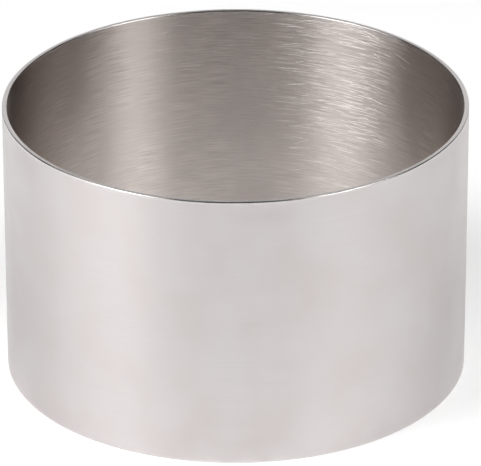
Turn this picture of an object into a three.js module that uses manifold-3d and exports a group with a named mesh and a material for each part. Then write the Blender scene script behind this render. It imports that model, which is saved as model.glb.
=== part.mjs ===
// Ring mould for pastry and plating: a strip of stainless steel rolled into a ring, its two ends
// joined by one butt weld that is dressed flush inside and out. The ring is open at top and bottom.
// Millimetres, +Z up along the ring's axis. The origin is the centre of the lower rim.

import * as THREE from "three";
import { mergeVertices } from "three/addons/utils/BufferGeometryUtils.js";
import Module from "manifold-3d";

// Driving dimensions
const OUTER_DIAMETER = 88.9; // across the outer wall
const HEIGHT = 54; // lower rim to upper rim, the width of the strip
const WALL = 0.95; // thickness of the strip
const EDGE_RADIUS = 0.2; // deburred corners of both rims
const WELD_FACE = 2.6; // width of the weld at the outer wall
const WELD_ROOT = 1.8; // width of the weld at the inner wall

// Fineness of the facets
const RING_STEPS = 120; // flats around the ring
const EDGE_STEPS = 4; // flats around each deburred corner

// Finishes
const BAND_STEEL = { color: 0xcfccca, roughness: 0.34, metalness: 1 };
const WELD_STEEL = { color: 0xc6c3c0, roughness: 0.42, metalness: 1 };

// Places that follow from the driving dimensions
const outerRadius = OUTER_DIAMETER / 2;
const innerRadius = outerRadius - WALL;
const edgeRadius = Math.min(EDGE_RADIUS, 0.45 * WALL); // a rim keeps a flat land to stand on

const wasm = await Module();
wasm.setup();

// A closed geometry as a solid that can be cut and joined.
function solidOf(geometry) {
  const bare = geometry.clone();
  bare.deleteAttribute("normal");
  bare.deleteAttribute("uv");
  const merged = mergeVertices(bare);
  const vertProperties = merged.attributes.position.array;
  const triVerts = new Uint32Array(merged.index.array);
  return new wasm.Manifold(new wasm.Mesh({ numProp: 3, vertProperties, triVerts }));
}

// A solid as a geometry with flat facets.
function geometryOf(solid) {
  const { vertProperties, triVerts } = solid.getMesh();
  const geometry = new THREE.BufferGeometry();
  geometry.setAttribute("position", new THREE.BufferAttribute(vertProperties, 3));
  geometry.setIndex(new THREE.BufferAttribute(triVerts, 1));
  const faceted = geometry.toNonIndexed();
  faceted.computeVertexNormals();
  return faceted;
}

// Section of the strip, x outwards from the ring's axis and y upwards: a tall thin rectangle with its
// four corners rounded where the sheared edges were deburred.
function stripSection() {
  const inside = innerRadius + edgeRadius;
  const outside = outerRadius - edgeRadius;
  const low = edgeRadius;
  const high = HEIGHT - edgeRadius;
  const quarter = Math.PI / 2;
  const outline = new THREE.Path();
  outline.absarc(outside, low, edgeRadius, -quarter, 0);
  outline.absarc(outside, high, edgeRadius, 0, quarter);
  outline.absarc(inside, high, edgeRadius, quarter, 2 * quarter);
  outline.absarc(inside, low, edgeRadius, 2 * quarter, 3 * quarter);
  outline.closePath();
  return outline.getPoints(EDGE_STEPS / 2); // an arc gets two steps for each division
}

// The strip's section carried all the way round the axis: band and weld together.
function wholeRing() {
  const ring = new THREE.LatheGeometry(stripSection(), RING_STEPS);
  ring.rotateX(Math.PI / 2);
  return solidOf(ring);
}

// The space that the weld fills, at the rear of the ring: an upright prism that narrows from the weld's
// face to its root. It reaches a little past both walls and both rims, so that it cuts right through.
function weldSpace() {
  const reach = WALL / 4;
  const flank = (WELD_FACE - WELD_ROOT) / 2 / WALL; // half width gained per millimetre outwards
  const nearHalf = WELD_ROOT / 2 - flank * reach;
  const farHalf = WELD_FACE / 2 + flank * reach;
  const plan = new THREE.Shape();
  plan.moveTo(-nearHalf, innerRadius - reach);
  plan.lineTo(nearHalf, innerRadius - reach);
  plan.lineTo(farHalf, outerRadius + reach);
  plan.lineTo(-farHalf, outerRadius + reach);
  plan.closePath();
  const prism = new THREE.ExtrudeGeometry(plan, { depth: HEIGHT + 2 * reach, bevelEnabled: false });
  prism.translate(0, 0, -reach);
  return solidOf(prism);
}

function piece(name, solid, finish) {
  const mesh = new THREE.Mesh(geometryOf(solid), new THREE.MeshStandardMaterial(finish));
  mesh.name = name;
  return mesh;
}

const ring = wholeRing();
const space = weldSpace();

const ringMould = new THREE.Group();
ringMould.add(piece("rolled_band", ring.subtract(space), BAND_STEEL));
ringMould.add(piece("seam_weld", ring.intersect(space), WELD_STEEL));

export default ringMould;
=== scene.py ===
"""Looks of a ring mould: a strip of stainless steel rolled into a ring and closed by a dressed butt weld.

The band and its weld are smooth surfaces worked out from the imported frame's sizes. The strip is satin
outside and brushed round its inner wall, its rims are deburred, and the weld at the rear is ground flush.
"""

import math

import bpy
import numpy as np
from mathutils import Matrix, Vector


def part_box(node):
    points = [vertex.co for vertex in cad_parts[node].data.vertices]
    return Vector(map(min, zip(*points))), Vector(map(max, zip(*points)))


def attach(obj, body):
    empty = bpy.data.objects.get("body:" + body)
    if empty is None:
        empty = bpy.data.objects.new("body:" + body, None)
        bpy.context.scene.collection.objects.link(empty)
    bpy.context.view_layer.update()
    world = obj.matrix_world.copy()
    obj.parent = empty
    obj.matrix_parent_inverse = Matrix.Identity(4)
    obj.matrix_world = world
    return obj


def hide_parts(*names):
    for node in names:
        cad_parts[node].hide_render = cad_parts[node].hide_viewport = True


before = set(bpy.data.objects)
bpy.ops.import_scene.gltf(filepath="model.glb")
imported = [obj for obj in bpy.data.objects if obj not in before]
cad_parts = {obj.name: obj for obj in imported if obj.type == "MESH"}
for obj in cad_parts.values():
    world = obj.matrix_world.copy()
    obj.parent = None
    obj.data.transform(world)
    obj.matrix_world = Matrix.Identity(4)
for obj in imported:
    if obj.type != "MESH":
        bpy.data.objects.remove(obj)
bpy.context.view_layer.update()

# Sizes of the ring, in metres
band_low, band_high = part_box("rolled_band")
OUTER_RADIUS = (band_high.x - band_low.x) / 2
HEIGHT = band_high.z - band_low.z
WALL = 0.95e-3
INNER_RADIUS = OUTER_RADIUS - WALL
EDGE_RADIUS = 0.2e-3  # deburred corners of both rims
WELD_FACE = 2.6e-3  # width of the weld at the outer wall
WELD_ROOT = 1.8e-3  # width of the weld at the inner wall
WELD_DIP = 0.03e-3  # how far grinding has sunk the middle of the weld's outer face

# Fineness of the surfaces
BAND_STEPS = 600  # faces along the strip
WELD_STEPS = 12  # faces across the weld
WALL_ROWS = 40  # faces from rim to rim
CORNER_ROWS = 6  # faces around each deburred corner
LAND_ROWS = 4  # faces across a rim's flat land

# Material slots of the band and of the weld
OUTER_SLOT = 0
RIM_SLOT = 1
INNER_SLOT = 2

# Angles round the ring are measured from the rear, +Y, towards +X
FULL_TURN = 2 * math.pi
LEFT = 0.75 * FULL_TURN

# How the rolled sheet strays from a true cylinder: waves round the ring, half waves from rim to rim,
# height of the wave in metres, and phase
SHEET_WAVES = (
    (2, 0.0, 0.05e-3, 0.6),
    (3, 0.0, 0.03e-3, 2.1),
    (9, 1.3, 0.012e-3, 4.0),
    (14, -2.2, 0.008e-3, 1.3),
    (23, 3.1, 0.004e-3, 5.2),
)

# How far from a rim the sheet is rubbed bright, and from the weld is tinted by heat, in metres
RUB_REACH = 0.5e-3
HEAT_REACH = 4.0e-3

# Where the inner wall is scuffed most, which is where its highlight falls, so that the glint painted in the
# scratches' colour gathers there: the angle, how far round it reaches, the heights between which it sets in,
# and how deep the scratches are elsewhere
GLINT_SCUFF_ANGLE = math.radians(39)
GLINT_SCUFF_REACH = math.radians(22)
GLINT_SCUFF_LOW = 0.25 * HEIGHT
GLINT_SCUFF_HIGH = 0.75 * HEIGHT
SCUFF_ELSEWHERE = 0.3

# Layout of the maps: the sheet's is in millimetres, and the one for baking is in shares of a square
MILLIMETRES = 1000.0  # per metre
MAP_MARGIN = 0.004
CAP_STRIP = 0.01  # where the strip for a cap ends, from the side of the square

# Studio: the lamps' distance, the room's strength, and the white paper's colour, sizes and glow, with
# lengths in metres
LAMP_DISTANCE = 0.9
ROOM_STRENGTH = 0.03
PAPER_WHITE = (0.92, 0.92, 0.92, 1)
FLOOR_REACH = 9.0
FLOOR_GLOW = 0.4
BACKDROP_AWAY = 3.6
BACKDROP_REACH = 2.1
BACKDROP_HEIGHT = 2.55
BACKDROP_GLOW = 0.8

# Camera fitted to the outline of the ring in the photograph
PHOTO_WIDTH = 481  # pixels
FOCAL_LENGTH = 4897.6  # pixels
SENSOR_WIDTH = 36.0
CAMERA_DISTANCE = 0.943  # metres, from the middle of the ring
CAMERA_ELEVATION = math.radians(25.914)
CAMERA_PITCH = math.radians(25.957)
CAMERA_YAW = math.radians(0.0615)
CAMERA_ROLL = math.radians(-0.119)


def strip_outline():
    """Section of the strip, walked up the outer wall, over the upper rim, down the inner wall and back
    over the lower rim: a tall thin rectangle with quarter circles at its corners. Rows crowd towards the
    rims as the cosine of equal angles does, so that the corners shade cleanly.

    Returns each point's distance from the axis, its height and its distance walked, and the material slot
    of each stretch from a point to the next. The last point is the first again.
    """
    inside = INNER_RADIUS + EDGE_RADIUS
    outside = OUTER_RADIUS - EDGE_RADIUS
    low = EDGE_RADIUS
    high = HEIGHT - EDGE_RADIUS
    quarter = math.pi / 2
    climb = (1 - np.cos(np.linspace(0, math.pi, WALL_ROWS + 1))) / 2
    turn = np.linspace(0, quarter, CORNER_ROWS + 1)[1:]
    cross = np.linspace(0, 1, LAND_ROWS + 1)[1:]

    def corner(centre_out, centre_up, first_angle):
        angle = first_angle + turn
        return centre_out + EDGE_RADIUS * np.cos(angle), centre_up + EDGE_RADIUS * np.sin(angle)

    stretches = [
        (OUTER_SLOT, np.full(WALL_ROWS, OUTER_RADIUS), low + (high - low) * climb[1:]),
        (RIM_SLOT, *corner(outside, high, 0)),
        (RIM_SLOT, outside + (inside - outside) * cross, np.full(LAND_ROWS, HEIGHT)),
        (RIM_SLOT, *corner(inside, high, quarter)),
        (INNER_SLOT, np.full(WALL_ROWS, INNER_RADIUS), high + (low - high) * climb[1:]),
        (RIM_SLOT, *corner(inside, low, 2 * quarter)),
        (RIM_SLOT, inside + (outside - inside) * cross, np.zeros(LAND_ROWS)),
        (RIM_SLOT, *corner(outside, low, 3 * quarter)),
    ]
    out = np.concatenate([[OUTER_RADIUS]] + [stretch[1] for stretch in stretches])
    up = np.concatenate([[low]] + [stretch[2] for stretch in stretches])
    slots = np.concatenate([np.full(len(stretch[1]), stretch[0]) for stretch in stretches])
    walked = np.concatenate([[0], np.cumsum(np.hypot(np.diff(out), np.diff(up)))])
    return out, up, walked, slots


# The outline is worked out once, for both pieces
OUT, UP, WALKED, SLOTS = strip_outline()
ROWS = len(SLOTS)


def sheet_stray(angle, height):
    """Radial stray of the rolled sheet: a few sine waves that run round the ring and slant up its wall."""
    climb = math.pi * height / HEIGHT
    return sum(size * np.sin(around * angle + up * climb + phase) for around, up, size, phase in SHEET_WAVES)


def wrapped(angle):
    """The same angle, brought to between half a turn back and half a turn on."""
    return (angle + math.pi) % FULL_TURN - math.pi


def rim_nearness(height):
    """1 on the rims, falling off over the walls as an exponential of the distance from the nearer one."""
    away = np.minimum(height - EDGE_RADIUS, HEIGHT - EDGE_RADIUS - height)
    return np.exp(-np.maximum(away, 0) / RUB_REACH)


def seam_nearness(angle):
    """1 on the weld, falling off along the strip as a bell curve of the distance from the weld's middle."""
    away = OUTER_RADIUS * np.abs(wrapped(angle))
    return np.exp(-((away / HEAT_REACH) ** 2))


def scuffing_and_glint(angle, height):
    """How deep the scratches are, and how much painted glint their colour carries: 1 at the scuffed place
    high on the wall, which is where the inner wall's highlight falls, falling off round the ring as a bell
    curve and down the wall as half a cosine wave, to the share that is left elsewhere."""
    round_the_ring = np.exp(-((wrapped(angle - GLINT_SCUFF_ANGLE) / GLINT_SCUFF_REACH) ** 2))
    climbed = np.clip((height - GLINT_SCUFF_LOW) / (GLINT_SCUFF_HIGH - GLINT_SCUFF_LOW), 0, 1)
    up_the_wall = (1 - np.cos(math.pi * climbed)) / 2
    return SCUFF_ELSEWHERE + (1 - SCUFF_ELSEWHERE) * round_the_ring * up_the_wall


def weld_edge_angle(out):
    """Angle from the middle of the weld to its flank, at a distance from the axis: the flank is a plane
    whose half width grows evenly from the root at the inner wall to the face at the outer wall."""
    share = (out - INNER_RADIUS) / WALL
    half_width = (WELD_ROOT + (WELD_FACE - WELD_ROOT) * share) / 2
    return np.arcsin(half_width / out)


def grid_corners(steps):
    """The step and the row of each swept face's four corners. The row after the last is the first again,
    but it is counted on here, because a map doesn't close there."""
    step, row = np.meshgrid(np.arange(steps), np.arange(ROWS), indexing="ij")
    corner_step = np.stack([step, step, step + 1, step + 1], axis=-1)
    corner_row = np.stack([row, row + 1, row + 1, row], axis=-1)
    return corner_step.reshape(-1, 4), corner_row.reshape(-1, 4)


def lay_map(mesh, name, faces, start_cap, end_cap):
    """A UV map, given as the places of the swept faces' corners and of the two caps' corners."""
    places = np.concatenate([faces.reshape(-1, 2), start_cap, end_cap])
    mesh.uv_layers.new(name=name).data.foreach_set("uv", places.ravel())


def lay_sheet_map(mesh, middle_angle):
    """The map that the finishes follow: millimetres along the strip, counted from the weld with a jump at
    the left, so that the grain runs on across the weld, and millimetres walked around the outline."""
    corner_step, corner_row = grid_corners(len(middle_angle) - 1)
    past_left = middle_angle[corner_step[:, :1]] >= LEFT
    along = (middle_angle[corner_step] - FULL_TURN * past_left) * OUT.mean()
    faces = np.stack([along, WALKED[corner_row]], axis=-1)
    start_cap = np.stack([np.full(ROWS, along[0, 0]), WALKED[:-1][::-1]], axis=-1)
    end_cap = np.stack([np.full(ROWS, along[-1, -1]), WALKED[:-1]], axis=-1)
    lay_map(mesh, "sheet", faces * MILLIMETRES, start_cap * MILLIMETRES, end_cap * MILLIMETRES)


def lay_bake_map(mesh, steps):
    """The map for baking: the swept faces spread over the unit square, with the caps in narrow strips at
    its sides."""
    corner_step, corner_row = grid_corners(steps)
    side = CAP_STRIP + MAP_MARGIN
    across = side + (1 - 2 * side) * np.linspace(0, 1, steps + 1)
    around = MAP_MARGIN + (1 - 2 * MAP_MARGIN) * WALKED / WALKED[-1]
    through = (OUT[:-1] - INNER_RADIUS) / WALL * (CAP_STRIP - MAP_MARGIN)
    rise = MAP_MARGIN + (1 - 2 * MAP_MARGIN) * UP[:-1] / HEIGHT
    faces = np.stack([across[corner_step], around[corner_row]], axis=-1)
    start_cap = np.stack([MAP_MARGIN + through, rise], axis=-1)[::-1]
    end_cap = np.stack([1 - MAP_MARGIN - through, rise], axis=-1)
    lay_map(mesh, "OFBake", faces, start_cap, end_cap)


def sharpen_caps(mesh, steps):
    """Marks the edges of both caps as sharp: those that lie in the first step or in the last."""
    ends = np.zeros(len(mesh.edges) * 2, np.int32)
    mesh.edges.foreach_get("vertices", ends)
    step = ends.reshape(-1, 2) // ROWS
    on_cap = (step[:, 0] == step[:, 1]) & np.isin(step[:, 0], (0, steps))
    mesh.attributes.new("sharp_edge", "BOOLEAN", "EDGE").data.foreach_set("value", on_cap)


def sweep_outline(name, first_angle, last_angle, steps, dip):
    """The strip's outline carried round the axis from one angle to another, closed by a cap at each end.

    The angles may differ from point to point of the outline, because the flanks of the weld are slanted.
    The outer wall is sunk by dip midway between the caps, as half a sine wave, and not at the rims.
    """
    share = np.linspace(0, 1, steps + 1)[:, None]
    angle = first_angle[:-1] + share * (last_angle - first_angle)[:-1]
    height = np.broadcast_to(UP[:-1], angle.shape)
    near_rim = rim_nearness(height)
    sunk = dip * np.sin(math.pi * share) * (OUT[:-1] == OUTER_RADIUS) * (1 - near_rim)
    radius = OUT[:-1] + sheet_stray(angle, height) - sunk
    points = np.stack([radius * np.sin(angle), radius * np.cos(angle), height], axis=-1).reshape(-1, 3)

    corner_step, corner_row = grid_corners(steps)
    quads = corner_step * ROWS + corner_row % ROWS
    start_cap = np.arange(ROWS)[::-1]
    end_cap = steps * ROWS + np.arange(ROWS)
    mesh = bpy.data.meshes.new(name)
    mesh.from_pydata(points.tolist(), [], quads.tolist() + [start_cap.tolist(), end_cap.tolist()])
    mesh.shade_smooth()
    sharpen_caps(mesh, steps)

    middle_angle = first_angle.mean() + share[:, 0] * (last_angle - first_angle).mean()
    lay_sheet_map(mesh, middle_angle)
    lay_bake_map(mesh, steps)
    face_slots = np.concatenate([np.tile(SLOTS, steps), [RIM_SLOT, RIM_SLOT]])
    mesh.polygons.foreach_set("material_index", face_slots.astype(np.int32))
    # The third field gathers the scratches, and the glint painted in their colour, where the inner wall's
    # highlight falls
    fields = {
        "rim_nearness": near_rim,
        "seam_nearness": seam_nearness(angle),
        "scuffing_and_glint": scuffing_and_glint(angle, height),
    }
    for field, values in fields.items():
        mesh.attributes.new(field, "FLOAT", "POINT").data.foreach_set("value", values.ravel())
    mesh.update()

    piece = bpy.data.objects.new(name, mesh)
    bpy.context.scene.collection.objects.link(piece)
    return piece


class Wiring:
    """Places nodes in one tree. An input is given as a plain value or as the socket that feeds it."""

    def __init__(self, tree):
        self.tree = tree

    def add(self, kind, inputs, **settings):
        node = self.tree.nodes.new(kind)
        for name, value in settings.items():
            setattr(node, name, value)
        for name, value in inputs.items():
            self.feed(node.inputs[name], value)
        return node

    def feed(self, socket, value):
        if isinstance(value, bpy.types.NodeSocket):
            self.tree.links.new(value, socket)
        else:
            socket.default_value = value

    def math(self, operation, first, second=0.0):
        return self.add("ShaderNodeMath", {0: first, 1: second}, operation=operation).outputs[0]

    def vector(self, operation, first, second):
        return self.add("ShaderNodeVectorMath", {0: first, 1: second}, operation=operation).outputs[0]

    def ramp(self, value, low, high, at_low=0.0, at_high=1.0):
        """value taken smoothly from the range low to high onto the range at_low to at_high."""
        ranges = {"From Min": low, "From Max": high, "To Min": at_low, "To Max": at_high}
        inputs = {"Value": value, **ranges}
        return self.add("ShaderNodeMapRange", inputs, interpolation_type="SMOOTHSTEP").outputs[0]

    def blend(self, factor, first, second):
        """A colour between two others. The node's sockets for colours come after those for other kinds."""
        return self.add("ShaderNodeMix", {0: factor, 6: first, 7: second}, data_type="RGBA").outputs[2]


def new_group(name, inputs, output):
    """An empty node group with named sockets: inputs are given as {name: default}, and one number comes
    out. Returns its wiring, the sockets that bring the inputs and the one that takes the number."""
    tree = bpy.data.node_groups.new(name, "ShaderNodeTree")
    for socket, default in inputs.items():
        kind = "NodeSocketVector" if isinstance(default, tuple) else "NodeSocketFloat"
        tree.interface.new_socket(socket, in_out="INPUT", socket_type=kind).default_value = default
    tree.interface.new_socket(output, in_out="OUTPUT", socket_type="NodeSocketFloat")
    wiring = Wiring(tree)
    given = wiring.add("NodeGroupInput", {}).outputs
    result = wiring.add("NodeGroupOutput", {}).inputs[output]
    return wiring, given, result


def grain_group():
    """Noise drawn out along the sheet, into lines of a given length and width. Where length and width are
    alike, it gives soft clouds."""
    wiring, given, result = new_group(
        "drawn grain", {"Sheet": (0.0, 0.0, 0.0), "Line": (10.0, 0.2, 1.0), "Seed": 0.0}, "Grain"
    )
    place = wiring.vector("DIVIDE", given["Sheet"], given["Line"])
    noise = wiring.add(
        "ShaderNodeTexNoise",
        {"Vector": place, "W": given["Seed"], "Scale": 1.0, "Detail": 2.0, "Roughness": 0.55},
        noise_dimensions="4D",
    )
    wiring.feed(result, noise.outputs["Fac"])
    return wiring.tree


# Scratches: where on its half length each begins to fade, the depth of the shallowest, the size of their
# bundles in millimetres, the range of noise from a clear place to a bundle, and how many are kept in each,
# as multiples of the share asked for
FADE_BEGINS = 0.4
SHALLOWEST = 0.25
BUNDLE = (12.0, 4.0, 1.0)
BUNDLE_NOISE = (0.35, 0.65)
KEPT_IN_CLEAR = 0.1
KEPT_IN_BUNDLES = 1.6


def scratch_group():
    """Separate scratches: the sheet is parted into long cells, and each cell may hold one straight
    scratch through its middle, turned by its own angle and fading at both ends. Soft noise gathers them
    into bundles and leaves other places clear."""
    wiring, given, result = new_group(
        "scratches",
        {
            "Sheet": (0.0, 0.0, 0.0),
            "Seed": 0.0,
            "Cell": (8.0, 1.2, 1.0),
            "Half Length": 2.5,
            "Half Width": 0.08,
            "Spread": 0.12,
            "Share": 0.5,
        },
        "Scratch",
    )
    shifted = wiring.vector("ADD", given["Sheet"], given["Seed"])
    place = wiring.vector("DIVIDE", shifted, given["Cell"])
    cells = wiring.add(
        "ShaderNodeTexVoronoi", {"Vector": place, "Scale": 1.0, "Randomness": 1.0}, voronoi_dimensions="2D"
    )
    from_middle = wiring.vector("SUBTRACT", place, cells.outputs["Position"])
    offset = wiring.vector("MULTIPLY", from_middle, given["Cell"])
    chance = wiring.add("ShaderNodeSeparateColor", {0: cells.outputs["Color"]}).outputs
    turn = wiring.math("MULTIPLY", wiring.math("SUBTRACT", chance[0], 0.5), given["Spread"])
    turned = wiring.add(
        "ShaderNodeVectorRotate", {"Vector": offset, "Angle": turn}, rotation_type="Z_AXIS"
    ).outputs[0]
    axes = wiring.add("ShaderNodeSeparateXYZ", {0: turned}).outputs
    along = wiring.math("ABSOLUTE", axes[0])
    across = wiring.math("ABSOLUTE", axes[1])
    line = wiring.ramp(across, 0.0, given["Half Width"], 1.0, 0.0)
    fading = wiring.math("MULTIPLY", given["Half Length"], FADE_BEGINS)
    ends = wiring.ramp(along, fading, given["Half Length"], 1.0, 0.0)
    bundles = wiring.add(
        "ShaderNodeTexNoise", {"Vector": wiring.vector("DIVIDE", shifted, BUNDLE), "Scale": 1.0}
    )
    crowd = wiring.ramp(bundles.outputs["Fac"], *BUNDLE_NOISE, KEPT_IN_CLEAR, KEPT_IN_BUNDLES)
    kept = wiring.math("LESS_THAN", chance[1], wiring.math("MULTIPLY", crowd, given["Share"]))
    depth = wiring.ramp(chance[2], 0.0, 1.0, SHALLOWEST, 1.0)
    shape = wiring.math("MULTIPLY", line, ends)
    strength = wiring.math("MULTIPLY", kept, depth)
    wiring.feed(result, wiring.math("MULTIPLY", shape, strength))
    return wiring.tree


# Wear: how ragged its border is, and the nearness at which it begins and is complete
WEAR_RAGGED = 1.2
WEAR_BEGINS = 0.25
WEAR_COMPLETE = 0.9


def wear_group():
    """Wear that follows a nearness from 0 to 1, broken up along its border by soft noise."""
    wiring, given, result = new_group(
        "edge wear", {"Sheet": (0.0, 0.0, 0.0), "Nearness": 0.0, "Patch": (3.0, 0.6, 1.0)}, "Wear"
    )
    place = wiring.vector("DIVIDE", given["Sheet"], given["Patch"])
    noise = wiring.add("ShaderNodeTexNoise", {"Vector": place, "Scale": 1.0, "Detail": 2.0})
    border = wiring.math("MULTIPLY", wiring.math("SUBTRACT", noise.outputs["Fac"], 0.5), WEAR_RAGGED)
    reached = wiring.math("ADD", given["Nearness"], border)
    wiring.feed(result, wiring.ramp(reached, WEAR_BEGINS, WEAR_COMPLETE))
    return wiring.tree


GRAIN = grain_group()
SCRATCHES = scratch_group()
WEAR = wear_group()

# What all the steel finishes share, with lengths in millimetres
RUBBED = (0.68, 0.648, 0.636, 1)  # steel rubbed bright at an edge
SCRATCH_GLINT_COLOUR = (0.84, 0.81, 0.795, 1)  # fresh metal in a scratch, made lighter than bare steel as a painted glint
HEATED = (0.56, 0.51, 0.462, 1)  # steel tinted by the heat of the weld
CLOUD = {"Line": (11.0, 14.0, 1.0), "Seed": 3.0}
CLOUD_ROUGHNESS = 0.015  # how much clouds add to the roughness, or take from it
RUBBED_SMOOTHER = 0.04  # how much rubbing takes from the roughness
HEAT_PATCH = (1.5, 2.5, 1.0)
MICROMETRE = 1e-6

# Ranges of the noise, which lies mostly between 0.3 and 0.7, that a change in colour or roughness spans
GRAIN_COLOUR = (0.3, 0.7)
GRAIN_ROUGHNESS = (0.4, 0.6)
CLOUD_COLOUR = (0.35, 0.7)
CLOUD_SHEEN = (0.3, 0.7)


def steel(
    name, light, dark, cloudy, roughness, anisotropy, relief, heat, grain, scratches=(), brush_turn=0.25
):
    """A brushed stainless finish: grain in colour, roughness and relief, soft clouds, scratches whose colour
    is lighter than bare steel as a painted glint, rims rubbed bright and a tint of heat at the weld.
    Roughness is given between the lines of the grain, on them, and as what a scratch adds. Relief is given
    in micrometres, of the grain and of a scratch. Grain and scratches are given as their groups' values,
    with lengths in millimetres. All scratches follow the piece's scuffed place, which is where the inner
    wall's highlight falls, so their painted glint gathers there. A brush turn of a quarter draws the shine
    out across the strip, and of 0 along it."""
    material = bpy.data.materials.new(name)
    material.use_nodes = True
    tree = material.node_tree
    wiring = Wiring(tree)
    shader = tree.nodes["Principled BSDF"]
    sheet = wiring.add("ShaderNodeUVMap", {}, uv_map="sheet").outputs[0]

    def placed(group, values):
        return wiring.add("ShaderNodeGroup", {"Sheet": sheet, **values}, node_tree=group).outputs[0]

    def stored(field):
        return wiring.add("ShaderNodeAttribute", {}, attribute_name=field).outputs["Fac"]

    drawn = placed(GRAIN, grain)
    cloud = placed(GRAIN, CLOUD)
    rubbed = placed(WEAR, {"Nearness": stored("rim_nearness")})
    heated = placed(WEAR, {"Nearness": stored("seam_nearness"), "Patch": HEAT_PATCH})
    scratch_and_glint = 0.0
    for values in scratches:
        scratch_and_glint = wiring.math("MAXIMUM", scratch_and_glint, placed(SCRATCHES, values))
    scratch_and_glint = wiring.math("MULTIPLY", scratch_and_glint, stored("scuffing_and_glint"))

    colour = wiring.blend(wiring.ramp(drawn, *GRAIN_COLOUR), dark, light)
    colour = wiring.blend(wiring.ramp(cloud, *CLOUD_COLOUR), colour, cloudy)
    colour = wiring.blend(wiring.math("MULTIPLY", heated, heat), colour, HEATED)
    # Scratches are blended towards a colour lighter than bare steel: a painted glint, gathered where the
    # inner wall's highlight falls
    colour = wiring.blend(scratch_and_glint, colour, SCRATCH_GLINT_COLOUR)
    colour = wiring.blend(rubbed, colour, RUBBED)
    wiring.feed(shader.inputs["Base Color"], colour)

    between_lines, on_lines, added_by_scratch = roughness
    rough = wiring.ramp(drawn, *GRAIN_ROUGHNESS, between_lines, on_lines)
    sheen = wiring.ramp(cloud, *CLOUD_SHEEN, -CLOUD_ROUGHNESS, CLOUD_ROUGHNESS)
    rough = wiring.math("ADD", rough, sheen)
    rough = wiring.math("ADD", rough, wiring.math("MULTIPLY", scratch_and_glint, added_by_scratch))
    rough = wiring.math("SUBTRACT", rough, wiring.math("MULTIPLY", rubbed, RUBBED_SMOOTHER))
    wiring.feed(shader.inputs["Roughness"], rough)

    grain_rise, scratch_depth = relief
    sunk = wiring.math("MULTIPLY", scratch_and_glint, scratch_depth)
    surface = wiring.math("SUBTRACT", wiring.math("MULTIPLY", drawn, grain_rise), sunk)
    bump = wiring.add("ShaderNodeBump", {"Strength": 1.0, "Distance": MICROMETRE, "Height": surface})
    wiring.feed(shader.inputs["Normal"], bump.outputs[0])

    tangent = wiring.add("ShaderNodeTangent", {}, direction_type="UV_MAP", uv_map="sheet")
    wiring.feed(shader.inputs["Tangent"], tangent.outputs[0])
    shader.inputs["Metallic"].default_value = 1.0
    shader.inputs["Anisotropic"].default_value = anisotropy
    shader.inputs["Anisotropic Rotation"].default_value = brush_turn
    return material


# Scratches of the inner wall: most run round it, some slant by up to 14 degrees, and a few by up to 46
ROUND_SCRATCHES = {
    "Cell": (8.0, 0.8, 1.0), "Half Length": 3.4, "Half Width": 0.06, "Spread": 0.14, "Share": 1.0
}
SLANTED_SCRATCHES = {
    "Cell": (8.0, 1.8, 1.0), "Half Length": 3.4, "Half Width": 0.06, "Spread": 0.5, "Share": 1.0
}
STRAY_SCRATCHES = {"Cell": (8.0, 8.0, 1.0), "Half Width": 0.08, "Spread": 1.6, "Share": 0.3}
inner_scratches = [{"Seed": seed, **ROUND_SCRATCHES} for seed in (0.0, 21.0, 43.0, 67.0)]
inner_scratches += [{"Seed": seed, **SLANTED_SCRATCHES} for seed in (91.0, 113.0)]
inner_scratches += [{"Seed": 80.0, **STRAY_SCRATCHES}]

outer_satin = steel(
    "outer satin",
    light=(0.658, 0.624, 0.622, 1), dark=(0.635, 0.602, 0.6, 1), cloudy=(0.631, 0.587, 0.58, 1),
    roughness=(0.32, 0.36, 0.0), anisotropy=0.8, relief=(0.3, 0.0), heat=0.6,
    grain={"Line": (25.0, 0.3, 1.0)},
)
inner_brushed = steel(
    "inner brushed",
    light=(0.775, 0.715, 0.68, 1), dark=(0.515, 0.475, 0.452, 1), cloudy=(0.62, 0.569, 0.542, 1),
    roughness=(0.29, 0.335, 0.04), anisotropy=1.0, relief=(16.0, 54.0), heat=0.0,
    grain={"Line": (7.0, 0.2, 1.0)},
    scratches=inner_scratches,
)
rim_edge = steel(
    "deburred rim",
    light=(0.70, 0.663, 0.647, 1), dark=(0.64, 0.606, 0.592, 1), cloudy=(0.67, 0.635, 0.622, 1),
    roughness=(0.26, 0.34, 0.05), anisotropy=0.9, relief=(1.0, 2.0), heat=0.5,
    grain={"Line": (6.0, 0.12, 1.0)},
    scratches=[{"Cell": (6.0, 0.8, 1.0), "Half Width": 0.04, "Share": 0.2}],
)
dressed_weld = steel(
    "dressed weld",
    light=(0.63, 0.597, 0.588, 1), dark=(0.53, 0.5, 0.49, 1), cloudy=(0.58, 0.547, 0.536, 1),
    roughness=(0.32, 0.42, 0.05), anisotropy=0.7, relief=(12.0, 15.0), heat=0.25, brush_turn=0.0,
    grain={"Line": (0.1, 5.0, 1.0)},
    scratches=[{"Cell": (2.0, 0.5, 1.0), "Half Length": 0.8, "Half Width": 0.06, "Spread": 1.0}],
)


def dress_band():
    """The rolled strip, from one flank of the weld round to the other."""
    edge = weld_edge_angle(OUT)
    band = sweep_outline("rolled_band_sheet", edge, FULL_TURN - edge, BAND_STEPS, 0.0)
    for finish in (outer_satin, rim_edge, inner_brushed):
        band.data.materials.append(finish)
    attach(band, "root")
    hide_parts("rolled_band")


def dress_weld():
    """The weld metal between the strip's ends, ground flush outside and brushed with the inner wall."""
    edge = weld_edge_angle(OUT)
    weld = sweep_outline("seam_weld_metal", -edge, edge, WELD_STEPS, WELD_DIP)
    for finish in (dressed_weld, rim_edge, inner_brushed):
        weld.data.materials.append(finish)
    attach(weld, "root")
    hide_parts("seam_weld")


dress_band()
dress_weld()


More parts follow.
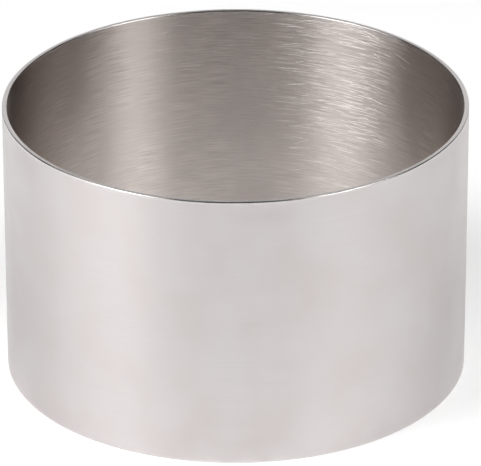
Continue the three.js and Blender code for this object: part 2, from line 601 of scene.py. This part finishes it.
def softbox(name, azimuths, elevations, radiance):
    """A flat soft lamp that faces the middle of the ring and spans a range of azimuths, in degrees from the
    front towards the right, and a range of elevations. Its power makes its face as bright as the radiance
    given."""
    side = math.radians(azimuths[0] + azimuths[1]) / 2
    rise = math.radians(elevations[0] + elevations[1]) / 2
    half_side = math.radians(azimuths[1] - azimuths[0]) / 2
    half_rise = math.radians(elevations[1] - elevations[0]) / 2
    lamp = bpy.data.lights.new(name, "AREA")
    lamp.shape = "RECTANGLE"
    lamp.size = 2 * LAMP_DISTANCE * math.tan(half_side) * math.cos(rise)
    lamp.size_y = 2 * LAMP_DISTANCE * math.tan(half_rise)
    lamp.energy = radiance * math.pi * lamp.size * lamp.size_y
    away = Vector((math.sin(side) * math.cos(rise), -math.cos(side) * math.cos(rise), math.sin(rise)))
    holder = bpy.data.objects.new(name, lamp)
    holder.location = Vector((0, 0, HEIGHT / 2)) + away * LAMP_DISTANCE
    holder.rotation_euler = away.to_track_quat("Z", "Y").to_euler()
    holder.visible_camera = False
    bpy.context.scene.collection.objects.link(holder)


softbox("left softbox", (-92, -40), (30, 60), 3.2)
softbox("left softbox core", (-78, -52), (30, 60), 3.6)
softbox("left low fill", (-92, -40), (3, 30), 1.4)
softbox("right softbox", (42, 72), (30, 60), 5.2)
softbox("right edge fill", (72, 104), (44, 60), 4.5)


def darken_the_room():
    """A dim even room around the lamps."""
    world = bpy.data.worlds.new("studio")
    bpy.context.scene.world = world
    world.use_nodes = True
    background = world.node_tree.nodes["Background"]
    background.inputs["Color"].default_value = (1, 1, 1, 1)
    background.inputs["Strength"].default_value = ROOM_STRENGTH


darken_the_room()


def lay_paper(name, corners, glow):
    """A flat sheet of white paper. The glow is added where the camera or the metal sees it, and lights
    nothing else."""
    mesh = bpy.data.meshes.new(name)
    mesh.from_pydata(corners, [], [(0, 1, 2, 3)])
    sheet = bpy.data.objects.new(name, mesh)
    bpy.context.scene.collection.objects.link(sheet)

    material = bpy.data.materials.new(name)
    material.use_nodes = True
    wiring = Wiring(material.node_tree)
    shader = material.node_tree.nodes["Principled BSDF"]
    shader.inputs["Base Color"].default_value = PAPER_WHITE
    shader.inputs["Roughness"].default_value = 1.0
    shader.inputs["Specular IOR Level"].default_value = 0.0
    shader.inputs["Emission Color"].default_value = (1, 1, 1, 1)
    path = wiring.add("ShaderNodeLightPath", {}).outputs
    seen = wiring.math("MAXIMUM", path["Is Camera Ray"], path["Is Glossy Ray"])
    seen = wiring.math("MAXIMUM", seen, path["Is Transmission Ray"])
    wiring.feed(shader.inputs["Emission Strength"], wiring.math("MULTIPLY", seen, glow))
    mesh.materials.append(material)


floor_corners = [
    (-FLOOR_REACH, -FLOOR_REACH, 0),
    (FLOOR_REACH, -FLOOR_REACH, 0),
    (FLOOR_REACH, FLOOR_REACH, 0),
    (-FLOOR_REACH, FLOOR_REACH, 0),
]
backdrop_corners = [
    (-BACKDROP_REACH, BACKDROP_AWAY, 0),
    (BACKDROP_REACH, BACKDROP_AWAY, 0),
    (BACKDROP_REACH, BACKDROP_AWAY, BACKDROP_HEIGHT),
    (-BACKDROP_REACH, BACKDROP_AWAY, BACKDROP_HEIGHT),
]
lay_paper("paper_floor", floor_corners, FLOOR_GLOW)
lay_paper("paper_backdrop", backdrop_corners, BACKDROP_GLOW)


def place_camera():
    """A pinhole camera at the photograph's viewing angle, with a long lens and no shift."""
    forward = Vector((
        math.sin(CAMERA_YAW) * math.cos(CAMERA_PITCH),
        math.cos(CAMERA_YAW) * math.cos(CAMERA_PITCH),
        -math.sin(CAMERA_PITCH),
    ))
    right = forward.cross(Vector((0, 0, 1))).normalized()
    up = right.cross(forward)
    rolled_right = right * math.cos(CAMERA_ROLL) + up * math.sin(CAMERA_ROLL)
    rolled_up = up * math.cos(CAMERA_ROLL) - right * math.sin(CAMERA_ROLL)
    turn = Matrix((rolled_right, rolled_up, -forward)).transposed()

    lens = bpy.data.cameras.new("camera")
    lens.sensor_width = SENSOR_WIDTH
    lens.lens = FOCAL_LENGTH * SENSOR_WIDTH / PHOTO_WIDTH
    camera = bpy.data.objects.new("camera", lens)
    camera.location = (
        0,
        -CAMERA_DISTANCE * math.cos(CAMERA_ELEVATION),
        CAMERA_DISTANCE * math.sin(CAMERA_ELEVATION) + HEIGHT / 2,
    )
    camera.rotation_euler = turn.to_euler()
    bpy.context.scene.collection.objects.link(camera)
    bpy.context.scene.camera = camera


place_camera()
bpy.context.scene.view_settings.view_transform = "Standard"
